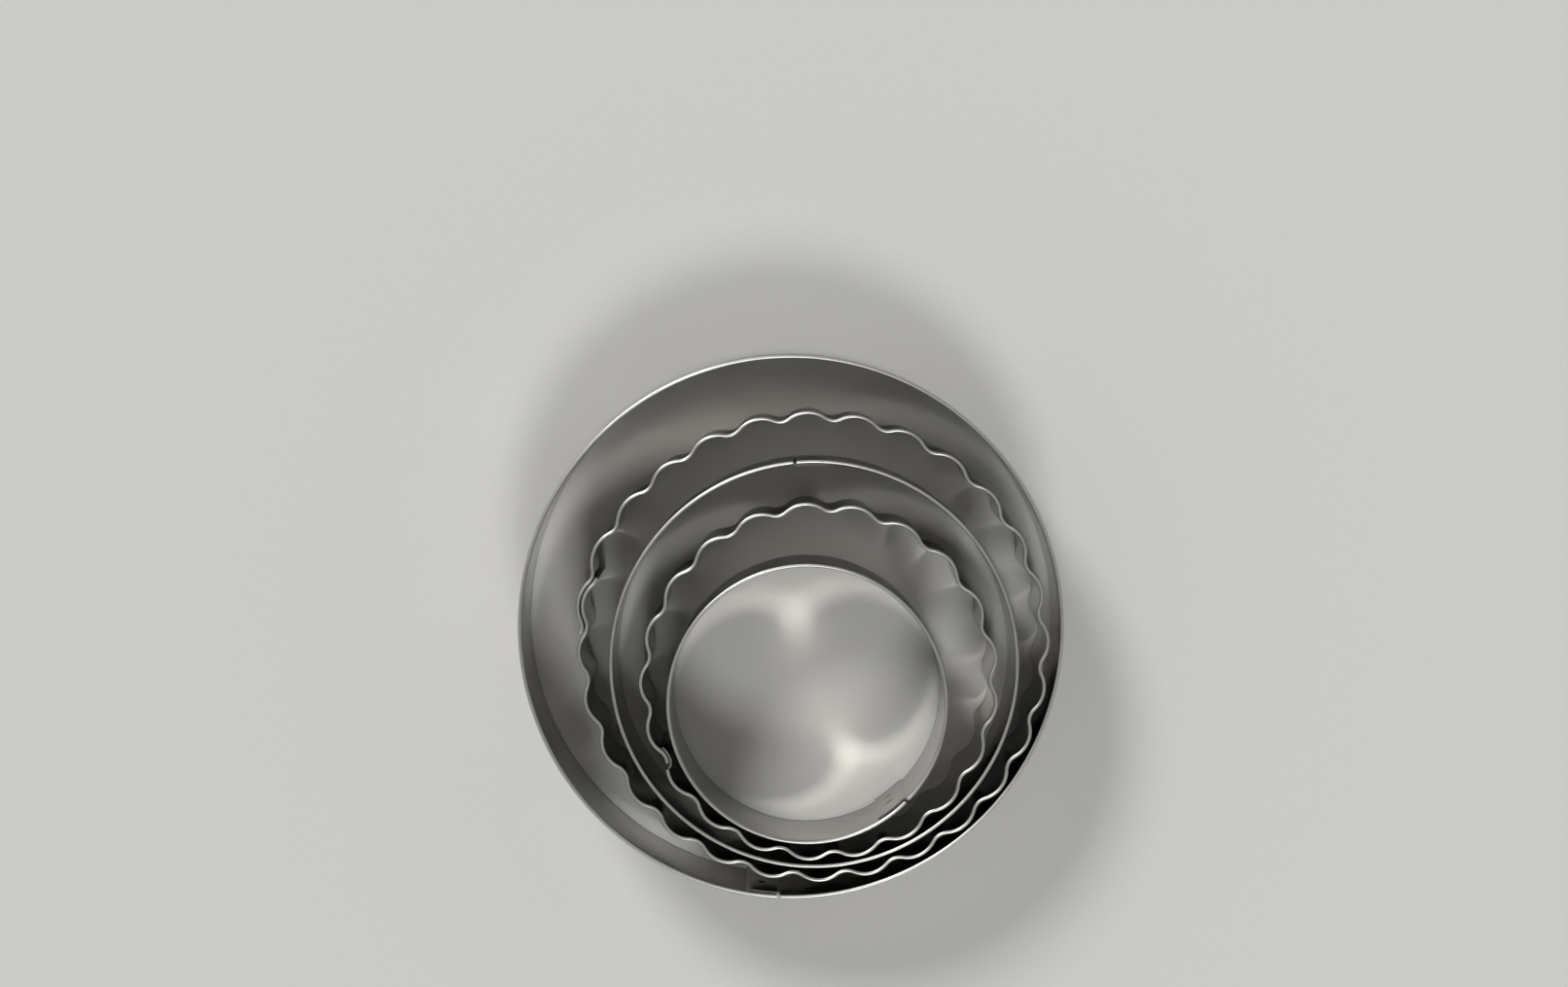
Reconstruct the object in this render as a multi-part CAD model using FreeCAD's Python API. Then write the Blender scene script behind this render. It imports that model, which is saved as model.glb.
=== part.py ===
import FreeCAD, Part
import math
import os

# A nest of five tinplate biscuit cutters: three plain and two fluted, each one bent strip of sheet metal.
# They stand on their cutting edges with the folded rims up. +Z points from the edges to the rims.
# The origin is the centre of the largest cutter, on the surface that they all stand on.

# Strip: sizes in millimetres
sheet = 0.3               # thickness of the tinplate
cutter_height = 22.0      # cutting edge to the top of the rim
hem_depth = 3.0           # how far the rim is folded flat, back down the outside
fold_ease = 0.2           # each side of the fold eased off by this much

# Flutes
flute_depth = 1.15        # crest to valley across the strip
crest_to_valley = 1.6     # bend radius of a crest over that of a valley
large_flutes = 28
small_flutes = 21

# Sizes across, from the smallest cutter outwards
small_plain_bore = 42.4   # inside diameter of the smallest cutter
small_plain_play = 4.3    # free room round each cutter, inside the next one, when they are centred
small_fluted_play = 3.2
medium_plain_play = 3.1
large_fluted_play = 5.0

# The cutters lie loose, each one slid over inside the next: the side it leans to, in degrees from +X
small_plain_lean = -118.0
small_fluted_lean = -74.0
medium_plain_lean = -88.0
large_fluted_lean = -41.0
least_gap = 0.4           # left at the side that a cutter leans to

# Seams: the strip runs clockwise from its seam, and its far end is welded inside its first end
large_plain_seam = -93.0  # degrees from +X, where a plain strip begins
medium_plain_seam = 95.0
small_plain_seam = -45.0
large_fluted_seam = 168.7   # the first crest of a fluted strip
small_fluted_seam = -162.3
tongue_length = 5.0       # bare far end of a plain strip, past the seam
tongue_drop = 0.7         # top of a tongue below the top of the rim
bare_gap = 0.05           # between a bare tongue and the layer round it
hemmed_gap = 0.15         # between the two hems of the large fluted lap
step_bend = 0.18          # inside radius of the two bends where a tongue steps in
small_fluted_setback = 0.5  # the first end of the small fluted strip starts this far into its valley
swell_flutes = 2          # flutes over which the first end of the large fluted strip swells over its lap

# Spot welds, in a row down each lap
weld_count = 2
weld_diameter = 1.6

origin = FreeCAD.Vector(0, 0, 0)
up = FreeCAD.Vector(0, 0, 1)
rim_thickness = 2 * sheet
tongue_height = cutter_height - tongue_drop
bare_lap = sheet + bare_gap                # how far a bare tongue lies inside the first end
hemmed_lap = rim_thickness + hemmed_gap    # how far an end that keeps its hem lies inside


def polar(radius, degrees, centre=origin):
    angle = math.radians(degrees)
    return centre + FreeCAD.Vector(radius * math.cos(angle), radius * math.sin(angle), 0)


def turn_between(first, second):
    return math.degrees(first.getAngle(second))


# One arc of a strip in plan: its middle layer starts at a point and turns about a centre
class Bend:
    def __init__(self, centre, start, turn, outward_sign=1):
        self.centre = centre
        self.start = start
        self.turn = turn
        self.outward_sign = outward_sign

    def point(self, share):
        spin = FreeCAD.Rotation(up, self.turn * share)
        return self.centre + spin.multVec(self.start - self.centre)

    def outward(self, share):
        direction = self.point(share) - self.centre
        return direction.normalize() * self.outward_sign

    def part(self, first, last):
        return Bend(self.centre, self.point(first), self.turn * (last - first), self.outward_sign)

    def inside(self, distance):
        start = self.start - self.outward(0) * distance
        return Bend(self.centre, start, self.turn, self.outward_sign)

    def length(self):
        return (self.start - self.centre).Length * math.radians(abs(self.turn))


# Sections of the strip, drawn upright at a point of its path, from the inside face outwards
def upright(point, outward, corners):
    inside = point - outward * (sheet / 2)
    return Part.makePolygon([inside + outward * across + up * height
                             for across, height in corners + corners[:1]])


def hemmed_section(point, outward):
    shoulder = cutter_height - fold_ease
    hem_end = cutter_height - hem_depth
    return upright(point, outward, [
        (0, 0),
        (0, shoulder),
        (fold_ease, cutter_height),
        (rim_thickness - fold_ease, cutter_height),
        (rim_thickness, shoulder),
        (rim_thickness, hem_end),
        (sheet, hem_end),
        (sheet, 0),
    ])


def bare_section(point, outward):
    return upright(point, outward, [(0, 0), (0, tongue_height), (sheet, tongue_height), (sheet, 0)])


# The section turned about each bend in order, closed by a flat end at each side
def strip(bends, section):
    faces = [Part.Face(section(bends[0].start, bends[0].outward(0)))]
    for bend in bends:
        wire = section(bend.start, bend.outward(0))
        faces += wire.revolve(bend.centre, up, bend.turn).Faces
    faces.append(Part.Face(section(bends[-1].point(1), bends[-1].outward(1))))
    solid = Part.Solid(Part.Shell(faces))
    if solid.Volume < 0:
        solid.reverse()
    return solid


# The two small bends in which a tongue steps in from a circle, ending at an angle of that circle
def step_in(centre, radius, end_angle):
    bend = step_bend + sheet / 2
    first_reach = radius - bend
    second_reach = radius - bare_lap + bend
    square = first_reach ** 2 + second_reach ** 2 - (2 * bend) ** 2
    start_angle = end_angle + math.degrees(math.acos(square / (2 * first_reach * second_reach)))
    first_centre = polar(first_reach, start_angle, centre)
    second_centre = polar(second_reach, end_angle, centre)
    start = polar(radius, start_angle, centre)
    middle = (first_centre + second_centre) / 2
    end = polar(radius - bare_lap, end_angle, centre)
    first_turn = turn_between(start - first_centre, middle - first_centre)
    second_turn = turn_between(middle - second_centre, end - second_centre)
    bends = [Bend(first_centre, start, -first_turn), Bend(second_centre, middle, second_turn, -1)]
    return start_angle, bends


# Two layers joined at a lap: nuggets of metal bridge them from the middle of one to that of the other
def welded(cutter, inner_layer, share, layer_shift):
    seat = inner_layer.point(share)
    outward = inner_layer.outward(share)
    for row in range(1, weld_count + 1):
        height = (cutter_height - hem_depth) * row / (weld_count + 1)
        nugget = Part.makeCylinder(weld_diameter / 2, layer_shift, seat + up * height, outward)
        cutter = cutter.fuse(nugget)
    return cutter


# Plain strip: a full circle, then a bare tongue that steps in and passes inside the first end
def plain_cutter(bore, seam):
    radius = bore / 2 + sheet / 2
    hem_stop, step = step_in(origin, radius, seam)
    around = Bend(origin, polar(radius, seam), hem_stop - seam - 360)
    tongue_turn = math.degrees(tongue_length / radius)
    tongue = Bend(origin, polar(radius - bare_lap, seam), -tongue_turn)
    cutter = strip([around], hemmed_section).fuse(strip(step + [tongue], bare_section))
    return welded(cutter, tongue, 0.5, bare_lap)


# Bend radii of the flutes on a circle: crest and valley arcs that meet smoothly half a pitch apart
def flute_radii(radius, flutes):
    top = radius + flute_depth / 2
    floor = radius - flute_depth / 2
    cosine = math.cos(math.pi / flutes)
    square = 2 * crest_to_valley * (1 - cosine)
    linear = 2 * (crest_to_valley * (top - cosine * floor) + cosine * top - floor)
    constant = 2 * cosine * top * floor - top ** 2 - floor ** 2
    valley = (math.sqrt(linear ** 2 - 4 * square * constant) - linear) / (2 * square)
    return crest_to_valley * valley, valley


# Valley and crest bends of a fluted strip in turn, from the valley before its first crest.
# Its first flutes swell outwards, bend for bend, to make room for a layer inside them.
def fluted_bends(radius, flutes, seam, swell, flute_count):
    crest_radius, valley_radius = flute_radii(radius, flutes)
    crest_circle = radius + flute_depth / 2 - crest_radius

    def swollen(index):
        share = (swell_flutes + 1 - index) / swell_flutes
        return swell * min(max(share, 0), 1)

    def crest_centre(index):
        return polar(crest_circle, seam - index * 360 / flutes)

    def valley_centre(index):
        before = crest_centre(index - 1)
        across = crest_centre(index) - before
        spread = across.Length
        valley = valley_radius - (swollen(index - 1) + swollen(index)) / 2
        near = crest_radius + swollen(index - 1) + valley
        far = crest_radius + swollen(index) + valley
        along = (spread ** 2 + near ** 2 - far ** 2) / (2 * spread)
        across.normalize()
        outward = FreeCAD.Vector(-across.y, across.x, 0)
        return before + across * along + outward * math.sqrt(near ** 2 - along ** 2)

    def meeting(crest_index, valley_index):
        crest = crest_centre(crest_index)
        towards = (valley_centre(valley_index) - crest).normalize()
        return crest + towards * (crest_radius + swollen(crest_index))

    bends = []
    for index in range(flute_count):
        valley = valley_centre(index)
        crest = crest_centre(index)
        entry = meeting(index - 1, index)
        middle = meeting(index, index)
        leave = meeting(index, index + 1)
        bends.append(Bend(valley, entry, turn_between(entry - valley, middle - valley), -1))
        bends.append(Bend(crest, middle, -turn_between(middle - crest, leave - crest)))
    return bends


# Large fluted strip: both ends keep their hems and nest over one whole flute, into the next valley
def hemmed_lap_cutter(radius, flutes, seam):
    bends = fluted_bends(radius, flutes, seam, hemmed_lap, flutes + 2)
    lap_crest = bends[2 * flutes + 1]
    lap_end = bends[2 * flutes + 2].part(0, 0.5)
    cutter = strip(bends[:2 * flutes + 2] + [lap_end], hemmed_section)
    return welded(cutter, lap_crest, 0.5, hemmed_lap)


# Small fluted strip: the far end steps in from the last crest and lies bare in the first valley
def tongue_lap_cutter(radius, flutes, seam):
    bends = fluted_bends(radius, flutes, seam, 0, flutes)
    first_valley = bends[0]
    last_crest = bends[-1]
    crest_arm = last_crest.start - last_crest.centre
    crest_angle = math.degrees(math.atan2(crest_arm.y, crest_arm.x))
    hem_stop, step = step_in(last_crest.centre, crest_arm.Length, crest_angle + last_crest.turn)
    last_crest.turn = hem_stop - crest_angle
    late_start = small_fluted_setback / first_valley.length()
    hemmed = [first_valley.part(late_start, 1)] + bends[1:]
    tongue = first_valley.inside(bare_lap)
    cutter = strip(hemmed, hemmed_section).fuse(strip(step + [tongue], bare_section))
    return welded(cutter, tongue, 0.5, bare_lap)


# Sizes of the nest, from the smallest cutter outwards: each fits round the rim of the one inside it
def fluted_radius(inside_room):
    return inside_room + flute_depth / 2 + sheet / 2


def fluted_reach(radius):
    return radius + flute_depth / 2 + rim_thickness - sheet / 2


small_plain_reach = small_plain_bore / 2 + rim_thickness
small_fluted_radius = fluted_radius(small_plain_reach + small_plain_play)
medium_plain_bore = 2 * (fluted_reach(small_fluted_radius) + small_fluted_play)
medium_plain_reach = medium_plain_bore / 2 + rim_thickness
large_fluted_radius = fluted_radius(medium_plain_reach + medium_plain_play)
large_plain_bore = 2 * (fluted_reach(large_fluted_radius) + large_fluted_play)

# Places of the nest, from the largest cutter inwards
large_fluted_place = polar(large_fluted_play - least_gap, large_fluted_lean)
medium_plain_place = polar(medium_plain_play - least_gap, medium_plain_lean, large_fluted_place)
small_fluted_place = polar(small_fluted_play - least_gap, small_fluted_lean, medium_plain_place)
small_plain_place = polar(small_plain_play - least_gap, small_plain_lean, small_fluted_place)

large_plain = plain_cutter(large_plain_bore, large_plain_seam)
large_fluted = hemmed_lap_cutter(large_fluted_radius, large_flutes, large_fluted_seam)
medium_plain = plain_cutter(medium_plain_bore, medium_plain_seam)
small_fluted = tongue_lap_cutter(small_fluted_radius, small_flutes, small_fluted_seam)
small_plain = plain_cutter(small_plain_bore, small_plain_seam)

cutters = {
    "large_plain_cutter": large_plain,
    "large_fluted_cutter": large_fluted.translated(large_fluted_place),
    "medium_plain_cutter": medium_plain.translated(medium_plain_place),
    "small_fluted_cutter": small_fluted.translated(small_fluted_place),
    "small_plain_cutter": small_plain.translated(small_plain_place),
}

os.makedirs("parts", exist_ok=True)
for name, shape in cutters.items():
    shape.exportStep("parts/" + name + ".step")
    print(name, "solids", len(shape.Solids), "faces", len(shape.Faces), "valid", shape.isValid(),
          "volume %.1f" % shape.Volume)
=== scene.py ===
import bpy
import bmesh
import math
from mathutils import Matrix, Vector


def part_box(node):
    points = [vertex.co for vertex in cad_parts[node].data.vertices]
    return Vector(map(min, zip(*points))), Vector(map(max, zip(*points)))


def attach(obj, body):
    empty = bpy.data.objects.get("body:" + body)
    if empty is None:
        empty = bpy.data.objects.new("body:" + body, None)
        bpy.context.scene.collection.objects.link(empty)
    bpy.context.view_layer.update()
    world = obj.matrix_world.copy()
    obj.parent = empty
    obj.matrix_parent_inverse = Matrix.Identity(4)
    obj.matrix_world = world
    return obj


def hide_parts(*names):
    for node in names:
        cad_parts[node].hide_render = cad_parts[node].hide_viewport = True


# Nest of five tinplate biscuit cutters, each one bent strip with a folded rim and a spot-welded lap
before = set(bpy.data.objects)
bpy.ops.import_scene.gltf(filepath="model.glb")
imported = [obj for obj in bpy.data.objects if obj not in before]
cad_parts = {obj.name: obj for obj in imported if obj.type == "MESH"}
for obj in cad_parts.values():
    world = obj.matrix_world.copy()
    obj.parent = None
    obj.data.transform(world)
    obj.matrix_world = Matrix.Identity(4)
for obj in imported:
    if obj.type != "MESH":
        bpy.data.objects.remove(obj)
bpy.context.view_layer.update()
mm = 0.001
upAxis = Vector((0, 0, 1))
print("frame loaded:", sorted(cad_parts))


# A shader socket as a value
class Wire:
    def __init__(self, tree, socket=None):
        self.tree = tree
        self.socket = socket

    def make(self, nodeType, settings, inputs, output=0):
        node = self.tree.nodes.new(nodeType)
        for name, value in settings.items():
            if name == "stops":
                self.setStops(node.color_ramp, value)
            else:
                setattr(node, name, value)
        for key, value in inputs.items():
            if isinstance(value, Wire):
                self.tree.links.new(value.socket, node.inputs[key])
            else:
                node.inputs[key].default_value = value
        return Wire(self.tree, node.outputs[output] if node.outputs else None)

    def setStops(self, ramp, stops):
        while len(ramp.elements) < len(stops):
            ramp.elements.new(1)
        for element, (place, grey) in zip(ramp.elements, stops):
            element.position = place
            element.color = (grey, grey, grey, 1)

    def maths(self, operation, first, second):
        return self.make("ShaderNodeMath", {"operation": operation}, {0: first, 1: second})

    def __add__(self, other):
        return self.maths("ADD", self, other)

    def __radd__(self, other):
        return self.maths("ADD", other, self)

    def __sub__(self, other):
        return self.maths("SUBTRACT", self, other)

    def __rsub__(self, other):
        return self.maths("SUBTRACT", other, self)

    def __mul__(self, other):
        return self.maths("MULTIPLY", self, other)

    def __rmul__(self, other):
        return self.maths("MULTIPLY", other, self)


def newMaterial(name):
    material = bpy.data.materials.new(name)
    material.use_nodes = True
    material.node_tree.nodes.clear()
    return material, Wire(material.node_tree)


def stretchedNoise(wire, place, scale, detail, roughness=0.55):
    spread = wire.make("ShaderNodeMapping", {}, {"Vector": place, "Scale": scale})
    sockets = {"Vector": spread, "Scale": 1.0, "Detail": detail, "Roughness": roughness}
    return wire.make("ShaderNodeTexNoise", {}, sockets)


def ramped(wire, value, stops):
    return wire.make("ShaderNodeValToRGB", {"stops": stops}, {0: value})


def blendColour(wire, share, first, second):
    return wire.make("ShaderNodeMix", {"data_type": "RGBA"}, {0: share, 6: first, 7: second}, 2)


# Tinplate: bright satin tin with rolling grain along the strip, cloudy tone and a few specks
tinFinish = {
    "bright": (0.377, 0.367, 0.348, 1),
    "warm": (0.261, 0.237, 0.208, 1),
    "rubbedAndHighlight": (0.55, 0.54, 0.515, 1),      # on the fold of the rim: worn tin, lightened beyond it as a painted highlight
    "speck": (0.16, 0.14, 0.12, 1),
    "straw": (0.34, 0.26, 0.165, 1),       # heat tint round a weld
    "bruise": (0.20, 0.19, 0.22, 1),       # darker heart of a weld
    "paintedShade": (0.075, 0.068, 0.06, 1),      # painted shade in the corner under the hem and along the foot
    "hollowShade": (0.15, 0.138, 0.122, 1),     # painted shade in the flute hollows, outside
    # strength of the mirror at a glancing angle, and how strongly the flute hollows get painted shade
    "inside": {"glance": (0.86, 0.86, 0.86, 1), "hollowShade": 0.0},
    # the outside's weak glancing mirror is partly a heavier coating on that side, partly painted shade for
    # the shaded floor its walls reflect
    "outside": {"glance": (0.31, 0.31, 0.31, 1), "hollowShade": 0.6},
    "roughness": 0.11,
    "rimWearAndHighlight": (21.6 * mm, 21.85 * mm),    # heights over which the fold goes from plain to worn and lightened as a painted highlight, from none to full
    "footPaintedShade": (0.3 * mm, 1.1 * mm),     # painted contact shade along the cutting edge, from full to none
    "footShadeShare": 0.75,                     # share of the full painted shade that the foot gets
    "grain": (70, 70, 9000),               # waves per metre: long round the strip, fine up it
    "fineGrain": (300, 300, 26000),
    "cloud": (85, 85, 60),
    "smear": (260, 260, 420),
    "specks": (2600, 2600, 2600),
    "wave": (150, 150, 110),
    "cloudStops": ((0.36, 0.0), (0.72, 1.0)),
    "speckStops": ((0.73, 0.0), (0.76, 1.0)),
    "smudgeStops": ((0.45, 0.0), (0.75, 1.0)),
    "strawStops": ((0.08, 0.0), (0.42, 1.0), (0.66, 0.25), (0.9, 0.0)),
    "heartStops": ((0.55, 0.0), (0.95, 1.0)),
    # share of each colour in the tone
    "tint": {"warm": 0.55, "grain": 0.2, "rim": 0.9, "speck": 0.8,
             "straw": 0.55, "heart": 0.5, "paintedShade": 0.85},
    # roughness that each adds
    "dull": {"grain": 0.08, "smudge": 0.08, "speck": 0.3, "heat": 0.12, "paintedShade": 0.3,
             "rim": 0.2, "hollowShade": 0.2},
    "fineShare": 0.4,                      # of the fine grain in the bumps
    "grainBump": {"Strength": 0.05, "Distance": 0.02 * mm},
    "waveBump": {"Strength": 0.12, "Distance": 0.4 * mm},
}


def makeTinplate(name, side):
    material, wire = newMaterial(name)
    finish = tinFinish
    place = wire.make("ShaderNodeTexCoord", {}, {}, "Object")
    tint, dull = finish["tint"], finish["dull"]
    grain = stretchedNoise(wire, place, finish["grain"], detail=3)
    fineGrain = stretchedNoise(wire, place, finish["fineGrain"], detail=2)
    cloud = stretchedNoise(wire, place, finish["cloud"], detail=4)
    smear = stretchedNoise(wire, place, finish["smear"], detail=5, roughness=0.62)
    wave = stretchedNoise(wire, place, finish["wave"], detail=1)
    specks = stretchedNoise(wire, place, finish["specks"], detail=1)
    heat = wire.make("ShaderNodeAttribute", {"attribute_name": "weldHeat"}, {}, "Fac")
    hemGrime = wire.make("ShaderNodeAttribute", {"attribute_name": "hemGrime"}, {}, "Fac")
    fluteHollow = wire.make("ShaderNodeAttribute", {"attribute_name": "fluteHollow"}, {}, "Fac")
    # painted shade in the flute hollows, on the outside only
    hollowShade = fluteHollow * side["hollowShade"]
    height = wire.make("ShaderNodeSeparateXYZ", {}, {"Vector": place}, 2)
    # painted contact shade along the foot, added to the painted shade under the hem
    footPaintedShade = wire.make("ShaderNodeMapRange", {}, {
        "Value": height, "From Min": finish["footPaintedShade"][1], "From Max": finish["footPaintedShade"][0]})
    paintedShade = hemGrime + footPaintedShade * finish["footShadeShare"]

    warmth = ramped(wire, cloud, finish["cloudStops"])
    speck = ramped(wire, specks, finish["speckStops"])
    smudge = ramped(wire, smear, finish["smudgeStops"])
    # worn fold of the rim, rougher and lightened as a painted highlight
    rim = wire.make("ShaderNodeMapRange", {}, {
        "Value": height, "From Min": finish["rimWearAndHighlight"][0], "From Max": finish["rimWearAndHighlight"][1]})
    strawRing = ramped(wire, heat, finish["strawStops"])
    heart = ramped(wire, heat, finish["heartStops"])
    cloudy = warmth * tint["warm"] + grain * tint["grain"]
    tone = blendColour(wire, cloudy, finish["bright"], finish["warm"])
    # painted shade in the flute hollows
    tone = blendColour(wire, hollowShade, tone, finish["hollowShade"])
    # worn rim tone, lightened as a painted highlight
    tone = blendColour(wire, rim * tint["rim"], tone, finish["rubbedAndHighlight"])
    tone = blendColour(wire, speck * tint["speck"], tone, finish["speck"])
    tone = blendColour(wire, strawRing * tint["straw"], tone, finish["straw"])
    tone = blendColour(wire, heart * tint["heart"], tone, finish["bruise"])
    # painted shade under the hem and along the foot
    tone = blendColour(wire, paintedShade * tint["paintedShade"], tone, finish["paintedShade"])

    roughness = finish["roughness"] + (grain - 0.5) * dull["grain"] + smudge * dull["smudge"]
    roughness = roughness + speck * dull["speck"] + heat * dull["heat"]
    roughness = roughness + paintedShade * dull["paintedShade"] + rim * dull["rim"] + hollowShade * dull["hollowShade"]
    waved = wire.make("ShaderNodeBump", {}, {"Height": wave, **finish["waveBump"]})
    grains = grain * (1 - finish["fineShare"]) + fineGrain * finish["fineShare"]
    grained = wire.make("ShaderNodeBump", {}, {"Height": grains, "Normal": waved, **finish["grainBump"]})
    shader = wire.make("ShaderNodeBsdfPrincipled", {}, {
        "Base Color": tone, "Metallic": 1.0, "Specular Tint": side["glance"],
        "Roughness": roughness, "Normal": grained})
    wire.make("ShaderNodeOutputMaterial", {}, {"Surface": shader})
    return material


# Sheared steel: the bare cut edges of the sheet, greyer, with the marks of the shear across them
shearFinish = {
    "clean": (0.25, 0.245, 0.24, 1),
    "dull": (0.14, 0.13, 0.12, 1),
    "roughness": 0.38,
    "marks": (3500, 3500, 500),
    "markStops": ((0.35, 0.0), (0.7, 1.0)),
    "markDull": 0.15,
    "bump": {"Strength": 0.25, "Distance": 0.03 * mm},
}


def makeShearedSteel():
    material, wire = newMaterial("shearedSteel")
    place = wire.make("ShaderNodeTexCoord", {}, {}, "Object")
    marks = stretchedNoise(wire, place, shearFinish["marks"], detail=3)
    dullness = ramped(wire, marks, shearFinish["markStops"])
    tone = blendColour(wire, dullness, shearFinish["clean"], shearFinish["dull"])
    bumped = wire.make("ShaderNodeBump", {}, {"Height": marks, **shearFinish["bump"]})
    shader = wire.make("ShaderNodeBsdfPrincipled", {}, {
        "Base Color": tone, "Metallic": 1.0,
        "Roughness": shearFinish["roughness"] + marks * shearFinish["markDull"], "Normal": bumped})
    wire.make("ShaderNodeOutputMaterial", {}, {"Surface": shader})
    return material


tinplate = makeTinplate("tinplate", tinFinish["inside"])
# outside copy of the tin: weaker glancing mirror, partly painted shade, and painted shade in the flute
# hollows
outerTinplate = makeTinplate("outerTinplate", tinFinish["outside"])
shearedSteel = makeShearedSteel()
print("materials made")

# The strip that every cutter is bent from
stripSheet = {
    "sheet": 0.3 * mm,
    "height": 22.0 * mm,
    "hemDepth": 3.0 * mm,
    "foldSteps": 14,
    "hemRound": 0.07 * mm,       # at the lower edge of the hem
    "hemSlot": 0.05 * mm,        # open line between hem and wall
    "slotDepth": 0.5 * mm,
    "paintedShadeReach": 0.35 * mm,     # of the painted shade below the hem
    "edgeBurr": 0.05 * mm,       # rounding of the cutting edge
    "tongueDrop": 0.7 * mm,
    "tongueLength": 5.0 * mm,
    "bareGap": 0.05 * mm,
    "hemmedGap": 0.15 * mm,
    "stepBend": 0.18 * mm,
    "plainSpacing": 1.2 * mm,    # of the mesh along a plain strip
    "fluteSpacing": 0.45 * mm,   # of the mesh along the flutes
    "stepSpacing": 0.06 * mm,    # of the mesh along the small bends of a tongue
    "smoothAngle": 38.0,         # degrees
    "levelNormal": 0.9,          # upright share of the normal of a face that lies level
    "wallNormal": 0.3,           # and the most of one that stands up
    "outerNormal": 0.2,          # outward share of the normal of a face on the outer side
}

# Spot welds, in a row down each lap
spotWelds = {
    "count": 2,
    "dish": 0.62 * mm,           # radius of the dented spot
    "depth": 0.09 * mm,
    "lip": 0.02 * mm,            # metal pushed up round the dent
    "patch": 1.05 * mm,          # half width of the finer mesh and of the heat tint round a spot
    "patchSteps": 4,
    "patchCuts": 4,
    "lipPlace": 1.05,            # from the middle, as a share of the dish
    "lipWidth": 0.14,            # likewise
    "dishCurve": 0.7,            # power of the curve of the dish
    "dishFloor": 0.75,           # part of that curve at which the floor turns flat
    "sheetReach": 0.6,           # how far a dent is felt through the sheet, as a share of it
    "patchNormal": 0.5,          # outward share of the normal of a face that is dented
}


def weldHeights():
    room = stripSheet["height"] - stripSheet["hemDepth"]
    return [room * row / (spotWelds["count"] + 1) for row in range(1, spotWelds["count"] + 1)]


def wallLevels():
    levels = []
    for height in weldHeights():
        for step in range(spotWelds["patchSteps"] + 1):
            levels.append(height + spotWelds["patch"] * (2 * step / spotWelds["patchSteps"] - 1))
    return levels


# Section of the hemmed strip, from the inner foot up and over:
# distance out from the inner face, height and painted shade of each corner
def hemmedSection():
    sheet = stripSheet["sheet"]
    top = stripSheet["height"]
    hemEnd = top - stripSheet["hemDepth"]
    slotTop = hemEnd + stripSheet["slotDepth"]
    slotSide = sheet + stripSheet["hemSlot"]
    burr = stripSheet["edgeBurr"]
    lowRound = stripSheet["hemRound"]
    corners = [(burr, 0, 0), (0, burr, 0)]
    corners += [(0, level, 0) for level in wallLevels()]
    corners.append((0, top - stripSheet["tongueDrop"], 0))
    for step in range(stripSheet["foldSteps"] + 1):
        turn = math.pi * step / stripSheet["foldSteps"]
        corners.append((sheet - sheet * math.cos(turn), top - sheet + sheet * math.sin(turn), 0))
    # painted shade at the lower edge of the hem and in the slot under it
    corners += [(2 * sheet, hemEnd + lowRound, 0), (2 * sheet - lowRound, hemEnd, 1)]
    corners += [(slotSide, hemEnd, 1), (slotSide, slotTop, 1), (sheet, slotTop, 1), (sheet, hemEnd, 1)]
    corners.append((sheet, hemEnd - stripSheet["paintedShadeReach"], 0))
    corners += [(sheet, level, 0) for level in reversed(wallLevels())]
    corners += [(sheet, burr, 0), (sheet - burr, 0, 0)]
    return corners


def polar(radius, degrees, centre=Vector((0, 0, 0))):
    angle = math.radians(degrees)
    return centre + Vector((radius * math.cos(angle), radius * math.sin(angle), 0))


def turnBetween(first, second):
    return math.degrees(first.angle(second))


# One arc of a strip in plan; the side is -1 where the bend's centre lies outside the cutter
class Bend:
    def __init__(self, centre, start, turn, side=1, spacing=stripSheet["plainSpacing"], steps=0):
        self.centre = centre
        self.start = start
        self.turn = turn
        self.side = side
        self.spacing = spacing
        self.steps = steps or max(1, math.ceil(self.length() / spacing))

    def length(self):
        return (self.start - self.centre).length * math.radians(abs(self.turn))

    def point(self, share):
        spun = Matrix.Rotation(math.radians(self.turn * share), 3, "Z")
        return self.centre + spun @ (self.start - self.centre)

    def outward(self, share):
        return (self.point(share) - self.centre).normalized() * self.side

    def part(self, first, last, steps=0):
        turn = self.turn * (last - first)
        return Bend(self.centre, self.point(first), turn, self.side, self.spacing, steps)

    def inside(self, distance):
        start = self.start - self.outward(0) * distance
        return Bend(self.centre, start, self.turn, self.side, self.spacing)

    # Three arcs, of which the middle one has the spacing of the mesh round a weld
    def aroundWeld(self, share):
        reach = spotWelds["patch"] / self.length()
        patch = self.part(share - reach, share + reach, spotWelds["patchSteps"])
        return [self.part(0, share - reach), patch, self.part(share + reach, 1)]


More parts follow.
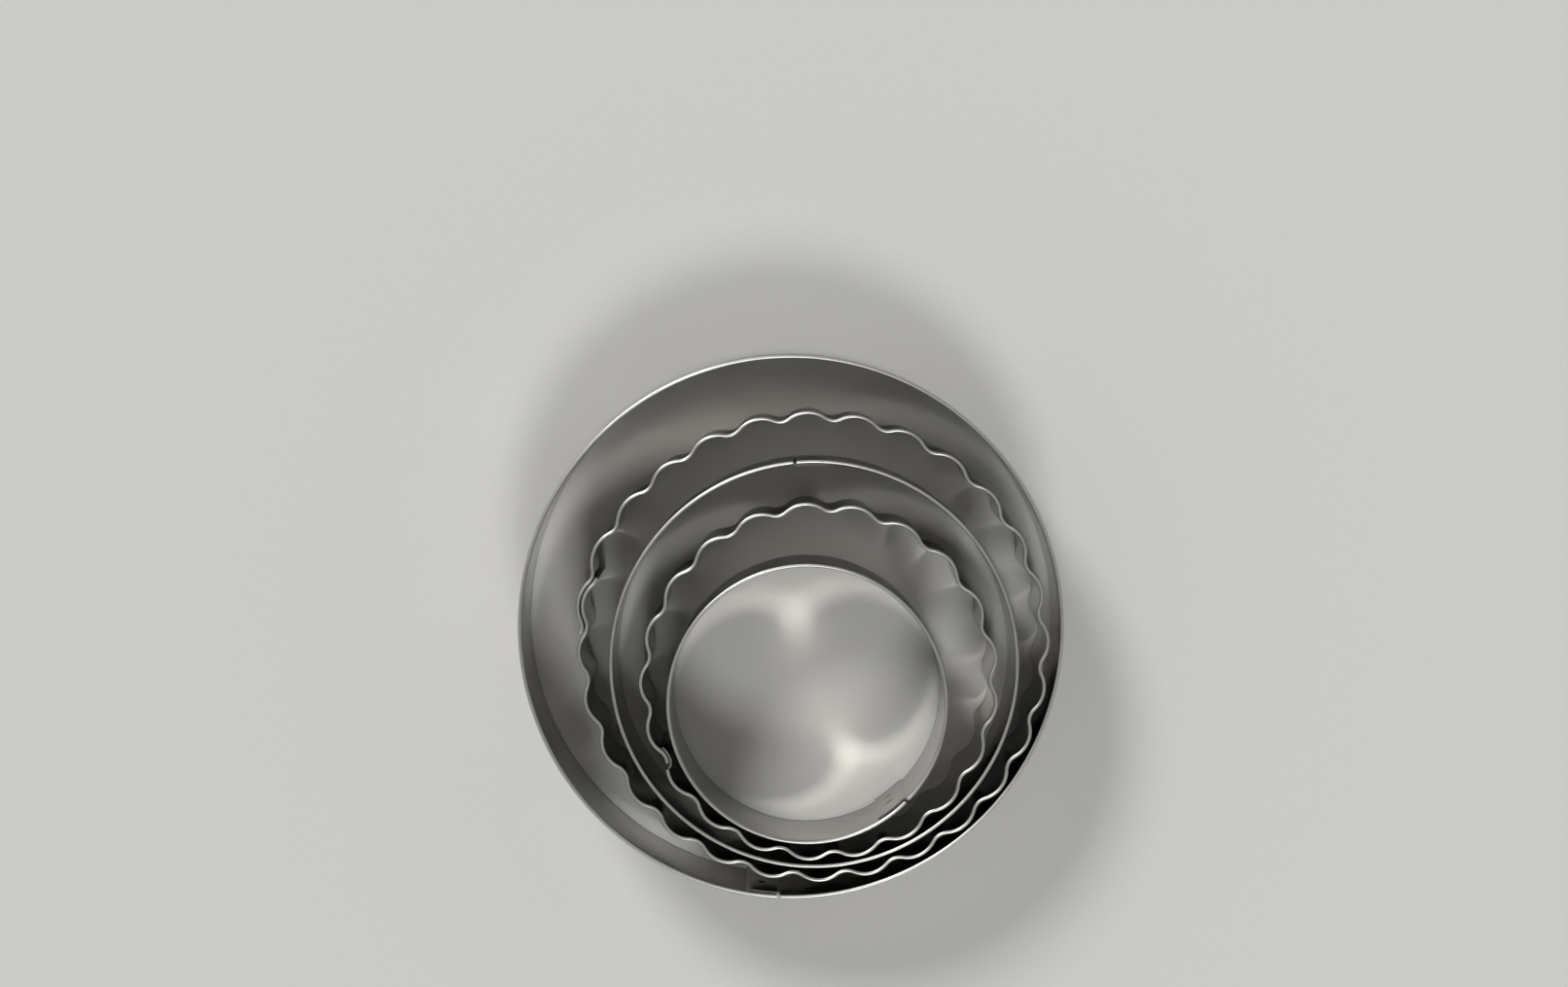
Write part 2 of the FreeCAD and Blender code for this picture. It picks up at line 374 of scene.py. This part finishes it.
# A strip in the making: its last section is spun about one bend after another
class StripMesh:
    def __init__(self, bend):
        self.bm = bmesh.new()
        self.order = self.bm.verts.layers.int.new("sectionOrder")
        self.heat = self.bm.verts.layers.float.new("weldHeat")
        # painted shade under the hem, kept on each corner
        self.paintedShade = self.bm.verts.layers.float.new("hemGrime")
        self.hollowShade = self.bm.verts.layers.float.new("fluteHollow")
        outward = bend.outward(0)
        foot = bend.start - outward * stripSheet["sheet"] / 2
        section = hemmedSection()
        self.loop = [self.bm.verts.new(foot + outward * across + upAxis * height)
                     for across, height, paintedShade in section]
        for index, vert in enumerate(self.loop):
            vert[self.order] = index * 2       # odd places are left for corners made later
            vert[self.paintedShade] = section[index][2]
            self.bm.edges.new((vert, self.loop[index - 1]))
        self.caps = []
        self.cap(self.loop)

    def cap(self, loop):
        self.caps.append(self.bm.faces.new(loop))

    def follow(self, bends):
        for bend in bends:
            edges = [self.bm.edges.get((vert, self.loop[index - 1]))
                     for index, vert in enumerate(self.loop)]
            made = bmesh.ops.spin(self.bm, geom=self.loop + edges, cent=bend.centre, axis=upAxis,
                                  angle=math.radians(bend.turn), steps=bend.steps)
            last = [item for item in made["geom_last"] if isinstance(item, bmesh.types.BMVert)]
            self.loop = sorted(last, key=lambda vert: vert[self.order])

    # The hem stops here, and only the bare sheet goes on
    def shedHem(self, bend):
        innerTop = 2 + len(wallLevels())                       # past two corners of the foot
        outerTop = len(self.loop) - 5 - len(wallLevels())      # top of the slot, then four corners
        corner = self.bm.verts.new(self.loop[innerTop].co + bend.outward(1) * stripSheet["sheet"])
        corner[self.order] = self.loop[innerTop][self.order] + 1
        self.bm.edges.new((self.loop[innerTop], corner))
        self.bm.edges.new((corner, self.loop[outerTop]))
        self.cap(self.loop[innerTop:outerTop + 1] + [corner])
        self.loop = self.loop[:innerTop + 1] + [corner] + self.loop[outerTop:]
        # the bare tongue carries no painted shade
        for vert in self.loop:
            vert[self.paintedShade] = 0

    # Dented, heat-tinted spots down one face of the strip; side 1 is its outer face
    def weldSpots(self, bend, share, side):
        outward = bend.outward(share)
        deep = stripSheet["sheet"] * spotWelds["sheetReach"]
        for height in weldHeights():
            spot = bend.point(share) + outward * side * stripSheet["sheet"] / 2 + upAxis * height
            near = [face for face in self.bm.faces if self.onPatch(face, spot, outward, side)]
            edges = list({edge for face in near for edge in face.edges})
            bmesh.ops.subdivide_edges(self.bm, edges=edges, cuts=spotWelds["patchCuts"], use_grid_fill=True)
            for vert in self.bm.verts:
                gap = vert.co - spot
                away = gap.dot(outward)
                if gap.length < 2 * spotWelds["patch"] and abs(away) < deep:
                    self.dent(vert, (gap - outward * away).length, outward * side)

    def onPatch(self, face, spot, outward, side):
        gap = face.calc_center_median() - spot
        away = gap.dot(outward)
        flat = gap - outward * away
        level = abs(flat.z) < spotWelds["patch"]
        along = Vector((flat.x, flat.y, 0)).length < spotWelds["patch"]
        onFace = abs(away) < stripSheet["sheet"] / 2
        return level and along and onFace and face.normal.dot(outward) * side > spotWelds["patchNormal"]

    def dent(self, vert, distance, out):
        share = distance / spotWelds["dish"]
        lip = math.exp(-((share - spotWelds["lipPlace"]) / spotWelds["lipWidth"]) ** 2)
        dish = max(1 - share ** 2, 0) ** spotWelds["dishCurve"]
        dish = min(dish / spotWelds["dishFloor"], 1)
        vert.co += out * (spotWelds["lip"] * lip - spotWelds["depth"] * dish)
        heat = max(1 - (distance / spotWelds["patch"]) ** 2, 0) ** 2
        vert[self.heat] = max(vert[self.heat], heat)

    # How deep the outer side lies between two crests, from 0 to 1, which sets the painted shade of the
    # flute hollows
    def markHollows(self, radius):
        crest = radius + flutes["depth"] / 2 + stripSheet["sheet"] / 2
        for vert in self.bm.verts:
            depth = (crest - vert.co.xy.length) / flutes["depth"]
            vert[self.hollowShade] = min(max(depth, 0), 1)

    # 0 is the tinned sheet, 1 a cut edge and 2 the outer side of the wall
    def finishOf(self, face):
        middle = face.calc_center_median()
        rise = face.normal.z
        onTongue = middle.z < stripSheet["height"] - stripSheet["tongueDrop"] / 2
        if rise < -stripSheet["wallNormal"] or (rise > stripSheet["levelNormal"] and onTongue):
            return 1
        outward = Vector((middle.x, middle.y, 0)).normalized()
        upright = abs(rise) < stripSheet["wallNormal"]
        return 2 if upright and face.normal.dot(outward) > stripSheet["outerNormal"] else 0

    def finish(self, piece):
        self.cap(self.loop)
        bmesh.ops.recalc_face_normals(self.bm, faces=self.bm.faces)
        for face in self.bm.faces:
            face.smooth = True
            face.material_index = self.finishOf(face)
        for face in self.caps:
            face.material_index = 1
        for bend, share, side in piece["welds"]:
            self.weldSpots(bend, share, side)
        if "flutes" in piece:
            self.markHollows(piece["radius"])
        self.bm.verts.layers.int.remove(self.order)
        bmesh.ops.translate(self.bm, verts=self.bm.verts, vec=piece["place"])
        mesh = bpy.data.meshes.new(piece["name"])
        self.bm.to_mesh(mesh)
        self.bm.free()
        mesh.set_sharp_from_angle(angle=math.radians(stripSheet["smoothAngle"]))
        for material in (tinplate, shearedSteel, outerTinplate):
            mesh.materials.append(material)
        cutter = bpy.data.objects.new(piece["name"], mesh)
        bpy.context.scene.collection.objects.link(cutter)
        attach(cutter, piece["body"])
        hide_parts(piece["node"])
        print(piece["name"], "faces", len(mesh.polygons))


bareLap = stripSheet["sheet"] + stripSheet["bareGap"]
hemmedLap = 2 * stripSheet["sheet"] + stripSheet["hemmedGap"]


# The two small bends in which a tongue steps in from a circle, ending at an angle of that circle
def stepIn(centre, radius, endAngle):
    bend = stripSheet["stepBend"] + stripSheet["sheet"] / 2
    firstReach = radius - bend
    secondReach = radius - bareLap + bend
    square = firstReach ** 2 + secondReach ** 2 - (2 * bend) ** 2
    startAngle = endAngle + math.degrees(math.acos(square / (2 * firstReach * secondReach)))
    firstCentre = polar(firstReach, startAngle, centre)
    secondCentre = polar(secondReach, endAngle, centre)
    start = polar(radius, startAngle, centre)
    middle = (firstCentre + secondCentre) / 2
    end = polar(radius - bareLap, endAngle, centre)
    firstTurn = turnBetween(start - firstCentre, middle - firstCentre)
    secondTurn = turnBetween(middle - secondCentre, end - secondCentre)
    spacing = stripSheet["stepSpacing"]
    return startAngle, [Bend(firstCentre, start, -firstTurn, 1, spacing),
                        Bend(secondCentre, middle, secondTurn, -1, spacing)]


# Plain cutter: a full circle, then a bare tongue that steps in and passes inside the first end
def plainCutter(piece):
    low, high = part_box(piece["node"])
    reach = (high.x - low.x) / 2
    piece["place"] = Vector(((low.x + high.x) / 2, (low.y + high.y) / 2, 0))
    radius = reach - 1.5 * stripSheet["sheet"]      # middle of the wall, within the hem
    origin = Vector((0, 0, 0))
    hemStop, step = stepIn(origin, radius, piece["seam"])
    around = Bend(origin, polar(radius, piece["seam"]), hemStop - piece["seam"] - 360)
    tongueTurn = math.degrees(stripSheet["tongueLength"] / radius)
    tongue = Bend(origin, polar(radius - bareLap, piece["seam"]), -tongueTurn)
    weldShare = stripSheet["tongueLength"] / 2 / around.length()
    piece["welds"] = [(around, weldShare, 1), (tongue, 0.5, -1)]
    strip = StripMesh(around)
    strip.follow(around.aroundWeld(weldShare))
    strip.shedHem(around)
    strip.follow(step + tongue.aroundWeld(0.5))
    strip.finish(piece)


flutes = {
    "depth": 1.15 * mm,          # crest to valley across the strip
    "crestToValley": 1.6,        # bend radius of a crest over that of a valley
    "swellFlutes": 2,            # over which the first end swells over its lap
}


# Bend radii of the flutes on a circle: crest and valley arcs that meet smoothly half a pitch apart
def fluteRadii(radius, count):
    top = radius + flutes["depth"] / 2
    floor = radius - flutes["depth"] / 2
    ratio = flutes["crestToValley"]
    cosine = math.cos(math.pi / count)
    square = 2 * ratio * (1 - cosine)
    linear = 2 * (ratio * (top - cosine * floor) + cosine * top - floor)
    constant = 2 * cosine * top * floor - top ** 2 - floor ** 2
    valley = (math.sqrt(linear ** 2 - 4 * square * constant) - linear) / (2 * square)
    return ratio * valley, valley


# Valley and crest bends in turn, from the valley before the first crest
def flutedBends(radius, count, seam, swell, fluteCount):
    crestRadius, valleyRadius = fluteRadii(radius, count)
    crestCircle = radius + flutes["depth"] / 2 - crestRadius
    spacing = stripSheet["fluteSpacing"]

    def swollen(index):
        share = (flutes["swellFlutes"] + 1 - index) / flutes["swellFlutes"]
        return swell * min(max(share, 0), 1)

    def crestCentre(index):
        return polar(crestCircle, seam - index * 360 / count)

    def valleyCentre(index):
        before = crestCentre(index - 1)
        across = crestCentre(index) - before
        valley = valleyRadius - (swollen(index - 1) + swollen(index)) / 2
        near = crestRadius + swollen(index - 1) + valley
        far = crestRadius + swollen(index) + valley
        along = (across.length ** 2 + near ** 2 - far ** 2) / (2 * across.length)
        across.normalize()
        outward = Vector((-across.y, across.x, 0))
        return before + across * along + outward * math.sqrt(near ** 2 - along ** 2)

    def meeting(crestIndex, valleyIndex):
        crest = crestCentre(crestIndex)
        towards = (valleyCentre(valleyIndex) - crest).normalized()
        return crest + towards * (crestRadius + swollen(crestIndex))

    bends = []
    for index in range(fluteCount):
        valley = valleyCentre(index)
        crest = crestCentre(index)
        entry = meeting(index - 1, index)
        middle = meeting(index, index)
        leave = meeting(index, index + 1)
        bends.append(Bend(valley, entry, turnBetween(entry - valley, middle - valley), -1, spacing))
        bends.append(Bend(crest, middle, -turnBetween(middle - crest, leave - crest), 1, spacing))
    return bends


# Large fluted cutter: both ends keep their hems and nest over one whole flute, into the next valley
def hemmedLapCutter(piece):
    count = piece["flutes"]
    bends = flutedBends(piece["radius"], count, piece["seam"], hemmedLap, count + 2)
    firstCrest = bends[1]
    lapCrest = bends[2 * count + 1]
    lapEnd = bends[2 * count + 2].part(0, 0.5)
    piece["welds"] = [(firstCrest, 0.5, 1), (lapCrest, 0.5, -1)]
    strip = StripMesh(bends[0])
    strip.follow(bends[:1] + firstCrest.aroundWeld(0.5) + bends[2:2 * count + 1])
    strip.follow(lapCrest.aroundWeld(0.5) + [lapEnd])
    strip.finish(piece)


# Small fluted cutter: the far end steps in from the last crest and lies bare in the first valley
def tongueLapCutter(piece):
    count = piece["flutes"]
    bends = flutedBends(piece["radius"], count, piece["seam"], 0, count)
    firstValley = bends[0]
    lastCrest = bends[-1]
    crestArm = lastCrest.start - lastCrest.centre
    crestAngle = math.degrees(math.atan2(crestArm.y, crestArm.x))
    hemStop, step = stepIn(lastCrest.centre, crestArm.length, crestAngle + lastCrest.turn)
    lastCrest = lastCrest.part(0, (hemStop - crestAngle) / lastCrest.turn)
    setback = piece["setback"] / firstValley.length()
    tongue = firstValley.inside(bareLap)
    piece["welds"] = [(firstValley, 0.5, 1), (tongue, 0.5, -1)]
    before, patch, after = firstValley.aroundWeld(0.5)
    before = firstValley.part(setback, before.length() / firstValley.length())
    strip = StripMesh(before)
    strip.follow([before, patch, after] + bends[1:-1] + [lastCrest])
    strip.shedHem(lastCrest)
    strip.follow(step + tongue.aroundWeld(0.5))
    strip.finish(piece)


# The five cutters; a seam is in degrees from +X
largePlain = {
    "name": "largePlainCutter", "node": "large_plain_cutter", "body": "large_plain", "seam": -93.0,
}
mediumPlain = {
    "name": "mediumPlainCutter", "node": "medium_plain_cutter", "body": "medium_plain", "seam": 95.0,
}
smallPlain = {
    "name": "smallPlainCutter", "node": "small_plain_cutter", "body": "small_plain", "seam": -45.0,
}
largeFluted = {
    "name": "largeFlutedCutter", "node": "large_fluted_cutter", "body": "large_fluted",
    "flutes": 28, "radius": 35.475 * mm, "seam": 168.7,
    "place": Vector((3.4717, -3.0179, 0)) * mm,
}
smallFluted = {
    "name": "smallFlutedCutter", "node": "small_fluted_cutter", "body": "small_fluted",
    "flutes": 21, "radius": 26.825 * mm, "seam": -162.3, "setback": 0.5 * mm,
    "place": Vector((4.3377, -8.4078, 0)) * mm,
}

plainCutter(largePlain)
hemmedLapCutter(largeFluted)
plainCutter(mediumPlain)
tongueLapCutter(smallFluted)
plainCutter(smallPlain)

# Pale floor
floorFinish = {
    "size": 6.0,
    "segments": 64,
    "drop": 0.02 * mm,           # below the cutting edges
    "colour": (0.61, 0.605, 0.58, 1),
    "shade": (0.57, 0.565, 0.54, 1),
    "fibre": (1800, 1800, 1800),
    "roughness": 0.75,
}


def makeFloor():
    material, wire = newMaterial("paleFloor")
    place = wire.make("ShaderNodeTexCoord", {}, {}, "Object")
    fibre = stretchedNoise(wire, place, floorFinish["fibre"], detail=3)
    tone = blendColour(wire, fibre, floorFinish["colour"], floorFinish["shade"])
    shader = wire.make("ShaderNodeBsdfPrincipled", {}, {
        "Base Color": tone, "Roughness": floorFinish["roughness"]})
    wire.make("ShaderNodeOutputMaterial", {}, {"Surface": shader})
    bm = bmesh.new()
    bmesh.ops.create_circle(bm, cap_ends=True, radius=floorFinish["size"], segments=floorFinish["segments"])
    bmesh.ops.translate(bm, verts=bm.verts, vec=(0, 0, -floorFinish["drop"]))
    mesh = bpy.data.meshes.new("paleFloor")
    bm.to_mesh(mesh)
    bm.free()
    mesh.materials.append(material)
    floor = bpy.data.objects.new("paleFloor", mesh)
    bpy.context.scene.collection.objects.link(floor)


makeFloor()
print("floor made")

# Studio: two broad distant lamps and a surround that is darkest straight above
studio = {
    "keyTurn": 123.3, "keyRise": 42.2, "keyStrength": 1.632,
    "fillTurn": -82.0, "fillRise": 53.3, "fillStrength": 1.156,
    "lampWidth": 18.0,           # degrees across
    "surround": ((0.03, 0.56), (1.0, 0.25)),        # height of the ray, and how bright it is there
}


def makeLamp(name, turn, rise, strength):
    light = bpy.data.lights.new(name, "SUN")
    light.angle = math.radians(studio["lampWidth"])
    light.energy = strength
    lamp = bpy.data.objects.new(name, light)
    flat = polar(math.cos(math.radians(rise)), turn)
    towards = flat + upAxis * math.sin(math.radians(rise))
    lamp.location = towards
    lamp.rotation_mode = "QUATERNION"
    lamp.rotation_quaternion = towards.to_track_quat("Z", "Y")
    bpy.context.scene.collection.objects.link(lamp)


def makeWorld():
    world = bpy.data.worlds.new("studio")
    world.use_nodes = True
    world.node_tree.nodes.clear()
    wire = Wire(world.node_tree)
    ray = wire.make("ShaderNodeTexCoord", {}, {}, "Generated")
    height = wire.make("ShaderNodeSeparateXYZ", {}, {"Vector": ray}, 2)
    grey = ramped(wire, height, studio["surround"])
    surround = wire.make("ShaderNodeBackground", {}, {"Color": grey, "Strength": 1.0})
    wire.make("ShaderNodeOutputWorld", {}, {"Surface": surround})
    bpy.context.scene.world = world


makeLamp("keyLight", studio["keyTurn"], studio["keyRise"], studio["keyStrength"])
makeLamp("fillLight", studio["fillTurn"], studio["fillRise"], studio["fillStrength"])
makeWorld()

# Camera: almost straight down, placed by the pixel scale at the rims and the point that it stands above
photo = {
    "width": 1612, "height": 1015,
    "focal": 3900.0,             # pixels
    "rimScale": 6.7,             # pixels per millimetre at the height of the rims
    "nest": (813.2, 646.3),      # centre of the largest rim
    "foot": (808.0, 285.0),      # straight below the camera
    "sensor": 36.0,
    "clip": (0.01, 20.0),
}


def makeCamera():
    lens = bpy.data.cameras.new("photoView")
    lens.sensor_width = photo["sensor"]
    lens.lens = photo["sensor"] * photo["focal"] / photo["width"]
    lens.clip_start, lens.clip_end = photo["clip"]
    view = bpy.data.objects.new("photoView", lens)
    reach = photo["focal"] / photo["rimScale"] * mm
    rim = stripSheet["height"]
    perPixel = mm / photo["rimScale"]

    def onRimPlane(pixel):
        right = pixel[0] - photo["nest"][0]
        above = photo["nest"][1] - pixel[1]
        return Vector((right * perPixel, above * perPixel, rim))

    eye = onRimPlane(photo["foot"]) + upAxis * reach
    aim = onRimPlane((photo["width"] / 2, photo["height"] / 2))
    back = (eye - aim).normalized()
    right = Vector((0, 1, 0)).cross(back).normalized()
    axes = Matrix((right, back.cross(right), back)).transposed()
    view.location = eye
    view.rotation_mode = "QUATERNION"
    view.rotation_quaternion = axes.to_quaternion()
    bpy.context.scene.collection.objects.link(view)
    bpy.context.scene.camera = view


makeCamera()
bpy.context.scene.view_settings.view_transform = "Standard"
bpy.context.scene.cycles.blur_glossy = 0     # the walls throw crisp light on the floor
bpy.context.scene.cycles.sample_clamp_indirect = 0
print("studio made")
